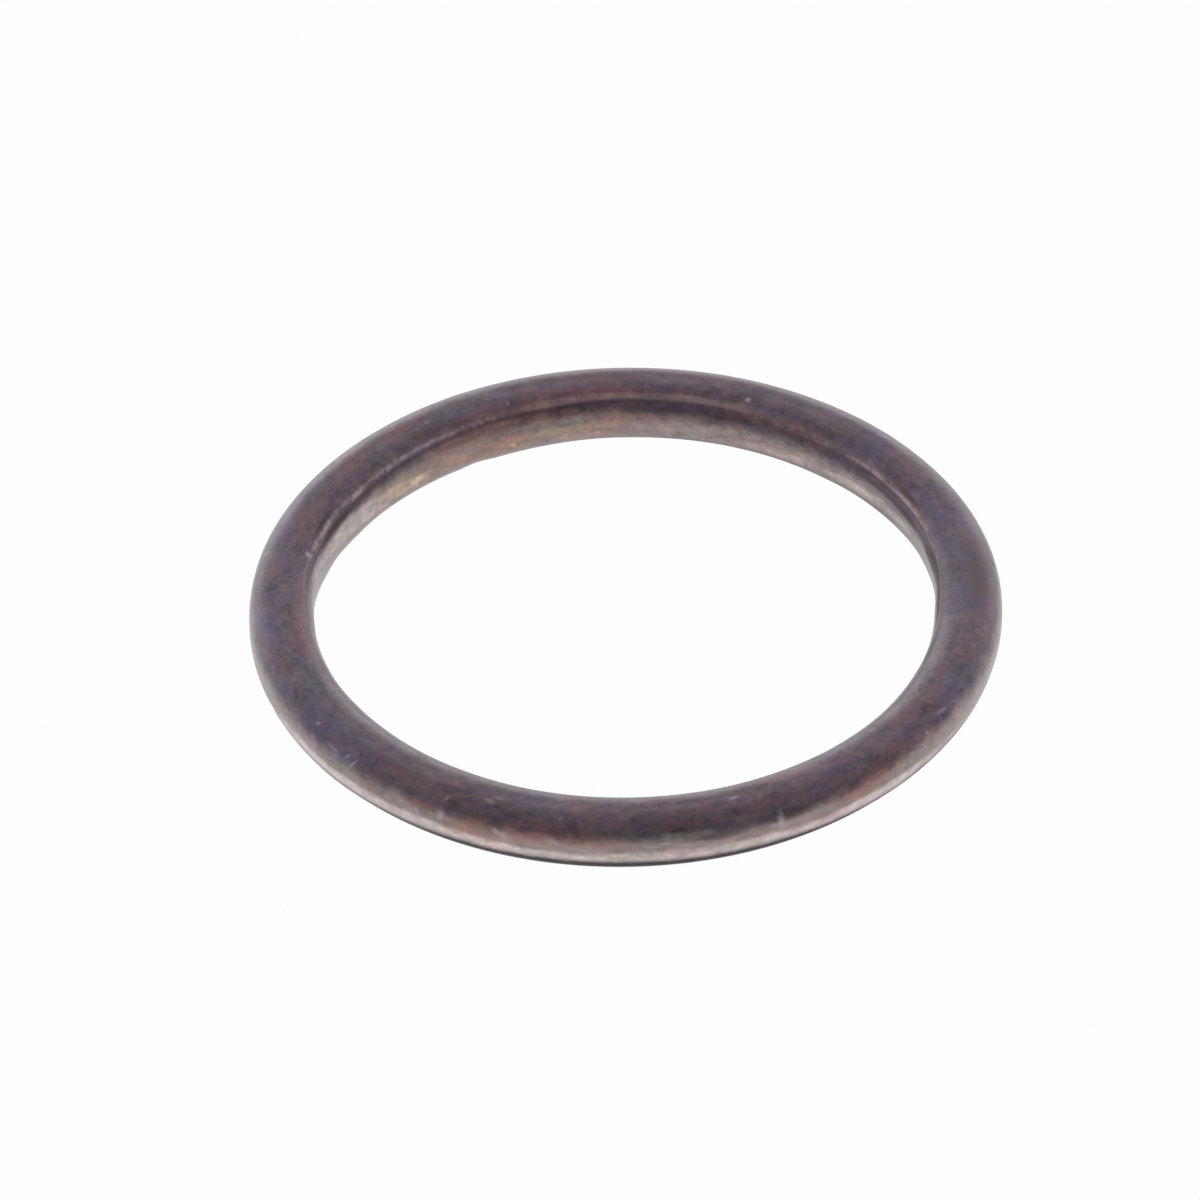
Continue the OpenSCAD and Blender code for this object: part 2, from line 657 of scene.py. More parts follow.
class Sheet:
    """The spun ring's vertices, slice by slice, for marks that are placed by azimuth and reach."""

    def __init__(self, bm, sizes, whole):
        self.bm = bm
        self.sizes = sizes
        self.whole = whole
        self.ring_r = (sizes.bore_r + sizes.rim_r) / 2
        self.paints = {name: bm.verts.layers.float.new(name) for name in PAINTS}
        self.reach = bm.verts.layers.float[REACH]
        count = SECTORS * sizes.sector_slices
        self.slices = [[] for _ in range(count)]
        for vert in bm.verts:
            self.slices[round(azimuth_of(vert.co) / 360 * count) % count].append(vert)

    def patch(self, azimuth, reach, half_length, half_width):
        """Each vertex of an oval patch, with its closeness: 1 at the middle and 0 at the border."""
        count = len(self.slices)
        arc = math.tau * self.ring_r / MM / count
        middle, reached = azimuth / 360 * count, half_length / arc
        for step in range(math.ceil(middle - reached), math.floor(middle + reached) + 1):
            along = (step - middle) * arc / half_length
            for vert in self.slices[step % count]:
                share = 1 - along * along - ((vert[self.reach] - reach) / half_width) ** 2
                if share > 0:
                    yield vert, share * share

    def stray(self):
        """Lets the lap, the width and the bore differ round the ring, as rolling and use leave them."""
        width = self.sizes.rim_r - self.sizes.bore_r
        for number, verts in enumerate(self.slices):
            azimuth = number * 360 / len(self.slices)
            turn = math.radians(between_stations(LAP_STRAY, azimuth))
            wear = between_stations(LAP_WEAR, azimuth)
            widening = 1 + between_stations(WIDTH_STRAY, azimuth) * MM / width
            shift = between_stations(BORE_STRAY, azimuth) * MM
            for vert in verts:
                self.set_lap(vert, turn, wear)
                out = (math.hypot(vert.co.x, vert.co.y) - self.ring_r) / (width / 2)
                radius = self.ring_r + out * widening * width / 2 + max(0, -out) * shift
                place_at(vert, radius, vert.co.z)

    def set_lap(self, vert, turn, wear):
        """Turns the lapped edge about its shoulder's centre and fills the worn share of its step.

        Both grow less away from the edge.
        """
        sizes = self.sizes
        radius = math.hypot(vert.co.x, vert.co.y)
        centre_r = sizes.bore_r + sizes.upper_inner_shoulder_r
        centre_z = sizes.height - sizes.upper_inner_shoulder_r
        if radius >= centre_r or vert.co.z <= centre_z:
            return
        angle = math.atan2(vert.co.z - centre_z, centre_r - radius)
        room = sizes.lap_angle if angle < sizes.lap_angle else QUARTER - sizes.lap_angle
        hold = math.cos(QUARTER * min(1, abs(angle - sizes.lap_angle) / room)) ** 2
        arm = math.hypot(centre_r - radius, vert.co.z - centre_z)
        arm += (sizes.upper_inner_shoulder_r - arm) * wear * hold
        angle += turn * hold
        place_at(vert, centre_r - arm * math.cos(angle), centre_z + arm * math.sin(angle))

    def press(self):
        """Adds the sheet's swells and the dents."""
        self.bm.normal_update()
        self.bm.verts.index_update()
        moves = [
            sum(noise.noise(vert.co / (size * MM)) * rise for size, rise in SWELLS)
            for vert in self.bm.verts
        ]
        for *patch, depth in DENTS:
            for vert, close in self.patch(*patch):
                moves[vert.index] -= depth * close
        for vert, move in zip(self.bm.verts, moves):
            vert.co += vert.normal * move * MM

    def paint(self):
        """Paints each attribute from its listed patches."""
        for name, layer in self.paints.items():
            for *patch, strength in PAINTS[name]:
                for vert, close in self.patch(*patch):
                    vert[layer] = min(1.0, vert[layer] + strength * close)

    def unroll(self):
        """Maps the sheet: once in millimetres for the marks, and once in rows that fill a square."""
        sheet = self.bm.loops.layers.uv.new(SHEET_MAP)
        bake = self.bm.loops.layers.uv.new(BAKE_MAP)
        span = 360 / BAKE_ROWS
        for face in self.bm.faces:
            middle = azimuth_of(face.calc_center_median())
            corners = [loop.vert[self.reach] for loop in face.loops]
            wraps = max(corners) - min(corners) > self.whole / 2
            row = min(BAKE_ROWS - 1, int(middle / span))
            for loop, length in zip(face.loops, corners):
                if wraps and length < self.whole / 2:
                    length += self.whole
                azimuth = middle + apart(azimuth_of(loop.vert.co), middle)
                loop[sheet].uv = (math.radians(azimuth) * self.ring_r / MM, length)
                along = within(azimuth / span - row, BAKE_END_MARGIN)
                across = within(length / self.whole, BAKE_SIDE_MARGIN)
                loop[bake].uv = (along, (row + across) / BAKE_ROWS)


# The ring's heat tints, wear and painted light

# Patches of tint, wear, painted shade and painted highlight, each with its azimuth, reach, half length
# along the ring, half width and strength.
PAINTS = {
    "dull": (
        (44, 9.8, 5, 0.7, 0.9), (52, 7.6, 4, 0.7, 0.6), (58, 9.6, 4, 0.6, 0.8),
        (72, 9.5, 4, 0.5, 0.5), (101, 9.9, 4, 0.7, 0.7), (128, 8, 3, 0.6, 0.7),
        (196, 5.1, 5, 0.8, 0.9), (204, 7, 5, 1, 0.9), (218, 6.8, 5, 1, 0.9),
        (222, 4.9, 4, 0.7, 0.6), (228, 4, 5, 0.6, 0.5), (236, 7.1, 4, 0.6, 0.8),
        (249, 4.6, 2.5, 0.5, 0.7), (268, 5, 4, 0.6, 0.9), (281, 4.9, 3, 0.5, 0.5),
        (298, 6, 3, 0.7, 0.5), (308, 4.1, 4, 0.6, 0.5),
    ),
    "red": (
        (4, 8, 3, 0.6, 0.6), (11, 8.9, 3, 0.7, 0.5), (12, 6.6, 4.5, 0.9, 0.15),
        (22, 7, 3, 0.6, 0.5), (31, 8.9, 3.5, 0.9, 0.9), (33, 7.4, 3, 0.9, 0.6),
        (56, 8.7, 4, 0.7, 0.7), (67, 8.9, 4, 0.7, 0.8), (84, 8.4, 6, 0.8, 0.5),
        (84, 9.4, 3, 1, 0.3), (84, 10.2, 3, 0.6, 0.4), (90, 7.3, 6, 0.6, 0.5),
        (91, 9.8, 2.5, 0.6, 0.5), (93, 8.3, 4, 0.8, 0.8), (94, 10.8, 4, 1, 0.6),
        (102, 8.4, 4, 0.8, 0.9), (104, 8.8, 5, 0.5, 0.5), (104, 9.4, 5, 0.6, 0.7),
        (107, 8.8, 3, 0.7, 0.9), (112, 10.4, 4, 1.2, 0.5), (115, 8.5, 4, 0.9, 0.9),
        (118, 9.3, 5, 0.6, 0.7), (118, 10.9, 4, 0.6, 0.8), (125, 8.8, 3, 0.8, 0.9),
        (126, 10, 4, 1.2, 0.5), (129, 6.9, 3.5, 0.8, 0.8), (138, 10.2, 3, 1, 0.5),
        (142, 6.9, 3, 1, 0.8), (145, 7.6, 4, 0.8, 0.5), (158, 7.3, 4, 1.2, 0.4),
        (161, 7.3, 3, 1.1, 0.8), (172, 8.9, 4, 0.6, 0.4), (180, 8.5, 5, 0.9, 0.8),
        (192, 7.7, 4, 1.1, 1), (226, 4.4, 3, 0.8, 0.3), (237, 4.9, 2.5, 0.5, 1),
        (245, 4.3, 2.5, 0.8, 0.7), (247, 4.9, 2.5, 0.5, 0.8), (251, 4.4, 3.5, 0.8, 0.5),
        (257, 5.1, 3.5, 0.9, 0.7), (262, 4.8, 4, 0.9, 0.6), (268, 4.7, 4, 0.8, 0.3),
        (271, 3.9, 4, 0.5, 0.25), (276, 4, 2.5, 0.6, 0.4), (292, 5.9, 3, 1, 0.5),
        (296, 7.5, 6, 0.5, 0.7), (308, 4.6, 3.5, 1, 1), (314, 5.5, 3, 1, 0.8),
        (322, 7.2, 3, 1.2, 0.4), (326, 6.8, 4, 0.8, 0.6),
    ),
    "violet": (
        (10, 8, 6, 1.5, 0.8), (12, 6.4, 4, 0.8, 0.5), (22, 7.5, 5, 1.5, 0.8),
        (43, 7.8, 4, 1.2, 0.5), (60, 7.9, 5, 1.2, 0.6), (149, 8.1, 4, 1.2, 0.4),
        (161, 6.4, 5, 1.2, 0.7), (165, 7.6, 5, 1.4, 0.5), (167, 6.5, 4, 1, 0.5),
        (173, 8, 4, 1.2, 0.5), (178, 8.2, 4, 1, 0.4), (185, 6.1, 6, 1.6, 1),
        (208, 5.5, 6, 1.6, 0.8), (219, 5.7, 5, 1.6, 0.9), (232, 6.8, 5, 0.8, 0.5),
        (287, 5.4, 5, 1, 0.3), (305, 6.5, 5, 1.2, 0.5), (334, 5.8, 5, 1.4, 0.6),
        (357, 7.9, 5, 1.2, 0.9),
    ),
    "gold": (
        (60, 10.9, 4, 0.7, 0.4), (90, 10.1, 3, 0.9, 0.2), (92, 7.3, 6, 0.6, 0.4),
        (98, 10.2, 4, 0.9, 0.5), (104, 10.8, 4, 0.6, 0.5), (109, 10.2, 4, 0.9, 0.45),
        (119, 10.2, 4, 0.9, 0.45), (131, 10.5, 4, 0.9, 0.8), (139, 10.5, 4, 0.9, 0.8),
        (245, 5.2, 4, 0.5, 0.4), (250, 2.4, 12, 0.8, 0.9), (286, 2.4, 14, 0.8, 0.9),
        (311, 5, 4, 0.6, 0.4),
    ),
    "bare": (
        (96, 10.9, 1, 0.4, 0.6), (111, 10.9, 0.8, 0.4, 0.6), (119, 10.4, 1.2, 0.4, 0.5),
        (133, 10.6, 1.6, 0.6, 1), (138, 10.9, 1.3, 0.5, 0.8),
    ),
    # Pale patches low on the outer shoulder and at the bore's foot: partly wear, partly painted reflection
    # of the floor.
    "pale": (
        (28, 10.6, 4, 0.7, 1), (39, 10.8, 5, 0.7, 1), (52, 10.9, 6, 0.7, 0.8),
        (64, 11, 6, 0.7, 0.7), (97, 11, 5, 0.8, 0.8), (118, 11, 6, 0.7, 0.6),
        (136, 10.6, 6, 0.9, 0.9), (143, 10.5, 7, 0.8, 0.6), (148, 10.2, 6, 1.1, 1),
        (153, 10.1, 5, 0.8, 0.5), (157, 9.8, 5, 0.9, 1), (168, 9.6, 4, 0.8, 1),
        (196, 3.1, 5, 0.7, 0.6), (210, 3.8, 4, 1.2, 0.9), (222, 3.5, 5, 1.05, 1),
        (226, 3.8, 5, 0.9, 0.4), (232, 3.3, 6, 1.1, 0.8), (234, 3.2, 4, 0.45, 0.4),
        (241, 3.7, 5, 0.9, 0.9), (248, 3.25, 5, 0.45, 0.6), (253, 3.6, 2.5, 0.5, 0.5),
        (258, 3.5, 3.5, 0.5, 0.8), (264, 3.3, 5, 0.45, 0.6), (274, 3.8, 5, 0.9, 0.85),
        (280, 3.3, 6, 0.45, 0.6), (290, 3.6, 3.2, 0.7, 1), (298, 3.35, 6, 0.45, 0.5),
        (303, 3.6, 4.5, 0.7, 0.6), (309, 3.4, 5, 0.9, 0.7), (317, 3.6, 5, 0.85, 0.95),
        (331, 3.6, 4, 0.7, 0.2), (342, 3.1, 4, 0.6, 0.5),
    ),
    # Thin oxide along the inner upper rim, and a painted highlight along the upper outer shoulder from
    # azimuth 43 to 185.
    "film_and_sheen": (
        (43, 6.3, 5, 0.5, 0.4), (57, 6.4, 5, 0.5, 0.4), (101, 6.5, 5, 0.5, 0.6),
        (115, 6.5, 5, 0.6, 0.8), (124, 6.6, 5, 0.4, 0.4), (129, 6.3, 5, 0.7, 0.7),
        (139, 6.1, 6, 0.5, 0.5), (143, 6.1, 5, 0.7, 0.8), (150, 5.9, 4, 0.5, 0.3),
        (157, 5.6, 5, 0.8, 0.8), (171, 5.2, 5, 0.8, 0.6), (185, 5, 5, 0.7, 0.4),
        (214, 8, 5, 0.6, 0.8), (231, 7.9, 5, 0.6, 0.7), (246, 7.8, 5, 0.6, 0.5),
        (260, 7.7, 5, 0.6, 0.5), (274, 7.7, 5, 0.6, 0.6), (288, 7.7, 5, 0.6, 0.8),
        (302, 7.6, 5, 0.7, 1), (316, 7.7, 5, 0.7, 0.9), (330, 7.8, 5, 0.7, 0.9),
        (344, 8, 5, 0.8, 0.8),
    ),
    # Patches on the bore's wall and above the lip: partly wear, partly painted reflection of the floor and
    # painted highlight.
    "rubbed_and_sheen": (
        (58, 8.4, 5, 0.4, 0.4), (70, 8.5, 5, 0.5, 0.7), (76, 8.7, 8, 0.3, 0.5),
        (82, 8.6, 5, 0.5, 0.8), (93, 9.6, 5, 0.6, 0.5), (94, 8.6, 5, 0.5, 0.8),
        (100, 8.7, 8, 0.3, 0.5), (104, 8.6, 5, 0.5, 0.8), (104, 9.5, 5, 0.7, 1),
        (115, 9.4, 4, 0.7, 0.9), (126, 9.7, 4, 0.9, 0.9), (136, 9.8, 4, 1, 1),
        (147, 9.8, 4, 0.9, 1), (158, 9.7, 4, 0.8, 0.8), (169, 9.5, 4, 0.7, 0.6),
        (273, 4.4, 2.5, 0.4, 0.8), (278, 4.9, 2.5, 0.4, 0.8),
    ),
    # The lip's worn edge, with a painted highlight along it.
    "worn lip and highlight": (
        (8, 8.82, 5, 0.22, 0.4), (22, 8.86, 5, 0.21, 0.65), (34, 8.87, 5, 0.21, 0.8),
        (50, 8.88, 5, 0.22, 0.45), (62, 8.86, 4, 0.22, 0.35), (122, 8.8, 6, 0.3, 0.5),
        (136, 8.8, 6, 0.32, 0.55), (150, 8.8, 6, 0.32, 0.55), (163, 8.75, 4, 0.3, 0.5),
    ),
    # Dark patches: painted shade in the lap's crease, at the bore's edge and over the upper face near
    # azimuth 0; on the outer wall they darken it in spots.
    "soot_and_shade": (
        (0, 9.2, 6, 0.6, 1), (2, 6.4, 7, 1.8, 0.45), (11, 9.7, 4, 0.8, 1),
        (25, 9.7, 4, 0.5, 0.8), (27, 8.5, 3, 0.3, 0.8), (36, 9.65, 3, 0.35, 0.6),
        (43, 7.4, 6, 0.7, 0.4), (122, 9.5, 2.5, 0.3, 0.4), (138, 9.2, 5, 0.3, 0.4),
        (140, 7.7, 6, 0.6, 0.25), (153, 9.2, 6, 0.35, 0.5), (159, 8.4, 3, 0.4, 0.8),
        (160, 9.4, 4, 0.4, 0.6), (174, 9, 4, 0.4, 0.5), (210, 8.95, 4, 0.35, 0.8),
        (222, 8.9, 5, 0.35, 0.8), (229, 6.4, 5, 0.7, 0.4), (246, 5.3, 4, 0.5, 0.4),
        (270, 5.1, 3, 0.4, 0.4), (283, 4.6, 3, 0.5, 0.8), (289, 5, 2.5, 0.5, 0.4),
        (295, 4.9, 2.5, 0.6, 0.9), (343, 8.7, 5, 0.4, 0.6),
    ),
}

# Scratches, each with its azimuth, reach, length, width, slant on the sheet in degrees, and strength.
# A dark one has a strength below zero.
SCRATCHES = (
    (6.2, 5.2, 0.4, 0.18, 0, -0.8),
    (67, 7.9, 0.3, 0.26, 100, 0.9),
    (110.8, 8.05, 0.3, 0.2, 100, 0.5),
    (126, 7.4, 0.25, 0.2, 40, 0.4),
    (164, 8.6, 0.25, 0.2, 20, 0.5),
    (167.8, 8.5, 0.42, 0.36, 60, 0.9),
    (168.2, 5.45, 0.3, 0.26, 30, 0.7),
    (213, 5.75, 0.3, 0.2, 40, 0.6),
    (218.2, 5.25, 0.8, 0.16, 175, 0.45),
    (221.6, 5.35, 0.35, 0.16, 60, 0.6),
    (223.2, 5.2, 0.5, 0.14, 60, 0.7),
    (236.4, 4.3, 0.6, 0.2, 118, 0.8),
    (240.4, 4.6, 0.5, 0.38, 90, 1),
    (240.6, 5.78, 0.35, 0.18, 60, 0.5),
    (247.4, 6.35, 0.6, 0.3, 165, 0.5),
    (248.8, 6.7, 0.6, 0.28, 5, 0.4),
    (249.6, 4.6, 0.55, 0.26, 150, 1),
    (250.8, 4.4, 0.45, 0.28, 110, 1),
    (258.4, 4.52, 0.6, 0.28, 170, 0.8),
    (259.2, 6, 0.3, 0.14, 60, 0.4),
    (273.4, 4.32, 0.7, 0.12, 176, 0.7),
    (275.4, 4.5, 0.6, 0.12, 4, 0.8),
    (278.2, 4.28, 0.8, 0.12, 178, 0.7),
    (280.5, 4.4, 0.5, 0.1, 2, 0.6),
    (287.2, 6.9, 0.5, 0.16, 15, 0.8),
    (293.4, 4.6, 1, 0.36, 88, 1),
    (294, 4.15, 0.4, 0.18, 80, 0.4),
    (323, 5.25, 0.25, 0.2, 0, 0.7),
    (328, 5.6, 0.75, 0.16, 172, 0.5),
    (331.5, 5.35, 0.6, 0.12, 140, 0.4),
)

# Zones of the sheet, each with the reaches where it starts, is full, begins to fade and ends.
OUTER_WALL = (2.5, 3.4, 4.1, 5.8)
LOWER_EDGE = (2.5, 3.1, 3.6, 4.3)
BORE_WALL = (8.9, 11.0, 12.0, 12.6)

# The share of the colour below that each sort of wear or painted light hides at full strength.
# Thin oxide and the painted highlight of the upper outer shoulder.
FILM_AND_SHEEN_COVER = 0.75
BARE_COVER = 0.7
FLECK_COVER = 0.35
# Dirt and painted shade.
SOOT_AND_SHADE_COVER = 0.6
# The strip above the lip: worn, with a painted highlight of the lap's ridge.
LAP_RUB_AND_HIGHLIGHT_COVER = 0.5
# Painted shade in the lip's crease.
LIP_SHADE_COVER = 0.15
# Scratches, and the painted highlight along the lip.
SCRATCH_AND_HIGHLIGHT_COVER = 0.7
DARK_SCRATCH_COVER = 0.8

# Relief of the surface, in millimetres.
CLOUD_RELIEF = 0.010
MOTTLE_RELIEF = 0.003
FINE_RELIEF = 0.0008
FLECK_DEPTH = 0.004
SCRATCH_DEPTH = 0.008


class Copper:
    """The copper's surface, worked out layer by layer on one bench."""

    def __init__(self, tree, ring_r):
        self.bench = bench = Bench(tree)
        self.ring_r = ring_r
        coordinates = bench.node("ShaderNodeTexCoord")
        self.place = bench.scale(bench.out(coordinates, "Object"), 1 / MM)
        self.sheet = bench.out(bench.node("ShaderNodeUVMap", {"uv_map": SHEET_MAP}))
        self.reach = bench.out(bench.node("ShaderNodeSeparateXYZ", values={0: self.sheet}), "Y")
        level = bench.vector("MULTIPLY", self.place, (1.0, 1.0, 0.0))
        self.around = bench.vector("NORMALIZE", level)
        self.broad = bench.noise(self.place, scale=0.18, detail=3.0)
        self.cloud = self.rolled_noise(along=0.40, across=0.72, shift=0)
        self.drift = self.rolled_noise(along=0.30, across=0.90, shift=40)
        self.streaks = self.rolled_noise(along=0.40, across=1.60, shift=80, detail=3.0, roughness=0.60)
        self.mottle = self.rolled_noise(along=1.10, across=1.80, shift=120, roughness=0.55)
        self.fine = self.rolled_noise(along=3.20, across=4.60, shift=160)
        self.uneven = self.cloud * 0.4 + self.mottle * 0.7 + self.streaks * 0.4

    def rolled_noise(self, along, across, shift, detail=2.0, roughness=0.5, result=0):
        """Noise with so many features per millimetre along the ring and across the sheet."""
        bench = self.bench
        turned = bench.scale(self.around, along * self.ring_r / MM)
        raised = bench.out(bench.node("ShaderNodeCombineXYZ", values={2: self.reach * across + shift}))
        return bench.noise(bench.vector("ADD", turned, raised), 1.0, detail, roughness, result)

    def zone(self, start, full, fading, end):
        """1 between two reaches, with soft borders."""
        return self.bench.fade(self.reach, start, full) * self.bench.fade_out(self.reach, fading, end)

    def painted(self, name, ragged, low=0.1, high=0.9):
        """A painted attribute with more or less ragged borders."""
        bench = self.bench
        strength = bench.attribute(name)
        grain = self.cloud * 0.35 + self.mottle * 0.40 + self.fine * 0.25 - 0.5
        return bench.fade(strength + grain * bench.fade(strength, 0.0, 0.2) * ragged, low, high)

    def flecks(self, scale, size, share, shift):
        """Small ragged flecks in some of a cell pattern's cells."""
        bench = self.bench
        moved = bench.vector("ADD", self.place, (shift, shift, shift))
        cells = bench.node("ShaderNodeTexVoronoi", values={"Vector": moved, "Scale": scale})
        chance = bench.out(bench.node("ShaderNodeSeparateXYZ", values={0: bench.out(cells, "Color")}), "X")
        ragged = bench.out(cells, "Distance") + (self.fine - 0.5) * 0.5
        return bench.fade_out(ragged, size * 0.3, size) * bench.fade(chance, 1 - share, 1.05 - share)

    def scratches(self, pale):
        """The listed scratches, either the pale ones or the dark ones, as thin ovals on the sheet."""
        bench = self.bench
        total = 0.0
        for azimuth, reach, length, width, slant, strength in SCRATCHES:
            if (strength > 0) != pale:
                continue
            values = {
                "Vector": self.sheet,
                "Location": (math.radians(azimuth) * self.ring_r / MM, reach, 0),
                "Rotation": (0, 0, math.radians(slant)),
                "Scale": (length / 2, width / 2, 1),
            }
            local = bench.out(bench.node("ShaderNodeMapping", {"vector_type": "TEXTURE"}, values))
            ragged = bench.vector("LENGTH", local, result="Value") + (self.fine - 0.5) * 1.5
            total = bench.fade_out(ragged, 0.0, 2.0) * abs(strength) + total
        return total

    def find_wear(self, reaches):
        """Works out where each tint, each sort of wear and each painted shade or highlight shows, from 0
        for nowhere to 1 for fully.
        """
        bench = self.bench
        self.violet = self.painted("violet", ragged=1.0)
        self.red = self.painted("red", ragged=1.6)
        self.gold = self.painted("gold", ragged=1.6)
        self.dull = self.painted("dull", ragged=1.2)
        # Dark patches: dirt, and painted shade by the lap, at the bore's edge and near azimuth 0.
        self.soot_and_shade = self.painted("soot_and_shade", ragged=1.2)
        self.bare = self.painted("bare", ragged=3.0, low=0.4)
        # The lip's worn edge, with a painted highlight along it.
        self.worn_lip_and_highlight = self.painted("worn lip and highlight", ragged=3.0, high=1.1)
        self.plain_walls = self.zone(*OUTER_WALL) + self.zone(*BORE_WALL)
        # The walls are paler partly from wear and partly as a painted reflection of the bright floor that
        # they mirror.
        self.walls = self.plain_walls + bench.attribute("rubbed_and_sheen") * 0.6
        self.rubbed_and_sheen = bench.fade(self.walls * 0.9 + self.uneven * 0.38, 0.43, 1.16)
        # Pale lower edge and bore foot: partly wear, partly a painted reflection of the bright floor.
        pale = self.zone(*LOWER_EDGE) * 0.5 + bench.attribute("pale") * 0.7
        self.pale_edge_and_sheen = bench.fade(pale + self.uneven * 0.34, 0.54, 1.47)
        self.dark_flecks = self.flecks(scale=1.1, size=0.30, share=0.45, shift=3.1) * (1 - self.walls)
        self.pale_scratches = self.scratches(True)
        self.dark_scratches = self.scratches(False)
        start, end = reaches.lip_start, reaches.lip_end
        # The strip above the lip is made lighter: wear, with a painted highlight of the lap's ridge.
        self.beside_lip_rub_and_highlight = self.zone(start - 0.5, start - 0.15, start - 0.1, start)
        # The lip's crease, which is darkened with painted shade.
        self.lip = self.zone(start - 0.1, start, end, end + 0.3)

    def oxide(self, finish):
        """The colour of the oxide, with its tints, its worn walls and pale edges, partly painted reflection
        of the floor, a painted highlight on the far outer shoulder, and its grain.
        """
        bench = self.bench
        cloudy = bench.fade(self.broad * 0.2 + self.streaks * 0.5 + self.mottle * 0.3, 0.40, 0.60)
        greenish = bench.fade(self.drift * 0.7 + self.mottle * 0.3, 0.46, 0.64)
        colour = bench.mix(cloudy, rgba(finish.plum), rgba(finish.brown))
        # Thin oxide, and a painted highlight along the far side's upper outer shoulder.
        colour = bench.cover(colour, bench.attribute("film_and_sheen") * FILM_AND_SHEEN_COVER, finish.film_and_sheen)
        # Painted reflection of the floor on the walls, over their wear.
        colour = bench.cover(colour, self.rubbed_and_sheen, finish.rubbed_and_sheen)
        # Painted reflection of the floor on the lower edges, over their pale wear.
        colour = bench.cover(colour, self.pale_edge_and_sheen, finish.pale)
        colour = bench.tint(colour, greenish, finish.green_tint)
        colour = bench.tint(colour, self.dull, finish.dull_tint)
        colour = bench.tint(colour, self.violet, finish.violet_tint)
        colour = bench.tint(colour, self.red, finish.red_tint)
        colour = bench.tint(colour, self.gold, finish.gold_tint)
        colour = bench.cover(colour, self.bare * BARE_COVER, finish.bare)
        grain = self.cloud * 0.9 + self.mottle * 1.25 + self.fine * 0.85 - 1.5
        colour = bench.scale(colour, grain * (1 - self.walls * 0.3) + 1 - self.plain_walls * 0.04)
        coloured = self.rolled_noise(0.60, 1.20, shift=200, detail=4.0, roughness=0.70, result="Color")
        hues = bench.vector("MULTIPLY_ADD", coloured, (2.0, 0.5, 2.0), (0.0, 0.75, 0.0))
        return bench.mix(0.28 - self.walls * 0.14, colour, hues, "MULTIPLY")

    def colour(self, finish):
        """The oxide's colour under its flecks, its dirt and painted shade, the painted highlights of the
        lip's worn edge and the strip above it, and its scratches.
        """
        bench = self.bench
        colour = bench.cover(self.oxide(finish), self.dark_flecks * FLECK_COVER, finish.soot_and_shade)
        # Painted shade and dirt from the dark patches.
        colour = bench.cover(colour, self.soot_and_shade * SOOT_AND_SHADE_COVER, finish.soot_and_shade)
        # Painted highlight of the lap's ridge on the strip above the lip, over its wear.
        colour = bench.cover(colour, self.beside_lip_rub_and_highlight * self.mottle * LAP_RUB_AND_HIGHLIGHT_COVER, finish.rubbed_and_sheen)
        # Painted shade in the lip's crease, except where the lip's worn edge shows.
        colour = bench.cover(colour, self.lip * (1 - self.worn_lip_and_highlight) * LIP_SHADE_COVER, finish.soot_and_shade)
        # Painted highlight along the lip's worn edge.
        colour = bench.cover(colour, self.worn_lip_and_highlight * SCRATCH_AND_HIGHLIGHT_COVER, finish.scratched_and_highlight)
        colour = bench.cover(colour, self.pale_scratches * SCRATCH_AND_HIGHLIGHT_COVER, finish.scratched_and_highlight)
        return bench.cover(colour, self.dark_scratches * DARK_SCRATCH_COVER, finish.soot_and_shade)

    def relief(self):
        """The height of the surface, in millimetres."""
        grain = self.cloud * CLOUD_RELIEF + self.mottle * MOTTLE_RELIEF + self.fine * FINE_RELIEF
        scratches = self.pale_scratches + self.dark_scratches
        return grain - self.dark_flecks * FLECK_DEPTH - scratches * SCRATCH_DEPTH


def make_copper(finish, reaches, ring_r):
    """The heat-tinted copper: oxide clouds, worn walls and pale edges with painted floor reflection, bloom,
    flecks, painted shade and highlights at the lap, scratches, and their relief.
    """
    material = bpy.data.materials.new("heat_tinted_copper")
    material.use_nodes = True
    copper = Copper(material.node_tree, ring_r)
    copper.find_wear(reaches)
    bench = copper.bench
    relief = {"Strength": 1.0, "Distance": MM, "Height": copper.relief()}
    roughness = finish.roughness + (copper.mottle - 0.5) * 0.25
    values = {
        "Base Color": copper.colour(finish),
        "Roughness": roughness + copper.red * 0.06 - copper.pale_edge_and_sheen * 0.10 + copper.soot_and_shade * 0.15,
        "Metallic": 1 - copper.red * 0.2,
        "Coat Weight": finish.coat - copper.soot_and_shade * 0.4,
        "Coat Roughness": finish.coat_roughness,
        "Normal": bench.out(bench.node("ShaderNodeBump", values=relief)),
    }
    shader = bench.node("ShaderNodeBsdfPrincipled", values=values)
    bench.node("ShaderNodeOutputMaterial", values={"Surface": bench.out(shader)})
    return material


# The studio

# The width of the shadow's soft edge, how much further the shadow comes out from under the ring in the
# bore, and how much narrower its fringe is there, in millimetres.
SHADOW_BLUR = 0.10
BORE_SHADOW = 0.25
BORE_FRINGE = 0.35

# How quickly the light fades, from the far side to the camera's and from the horizon upwards.
SKY_FADE = 0.72
HORIZON_FADE = 4.0

# The width of the camera's sensor in millimetres, and how far it sees in metres.
SENSOR_WIDTH = 36
FARTHEST_SEEN = 100


def add_mesh(name, bm):
    """Puts a finished mesh in the scene."""
    mesh = bpy.data.meshes.new(name)
    bm.to_mesh(mesh)
    bm.free()
    made = bpy.data.objects.new(name, mesh)
    bpy.context.scene.collection.objects.link(made)
    return made


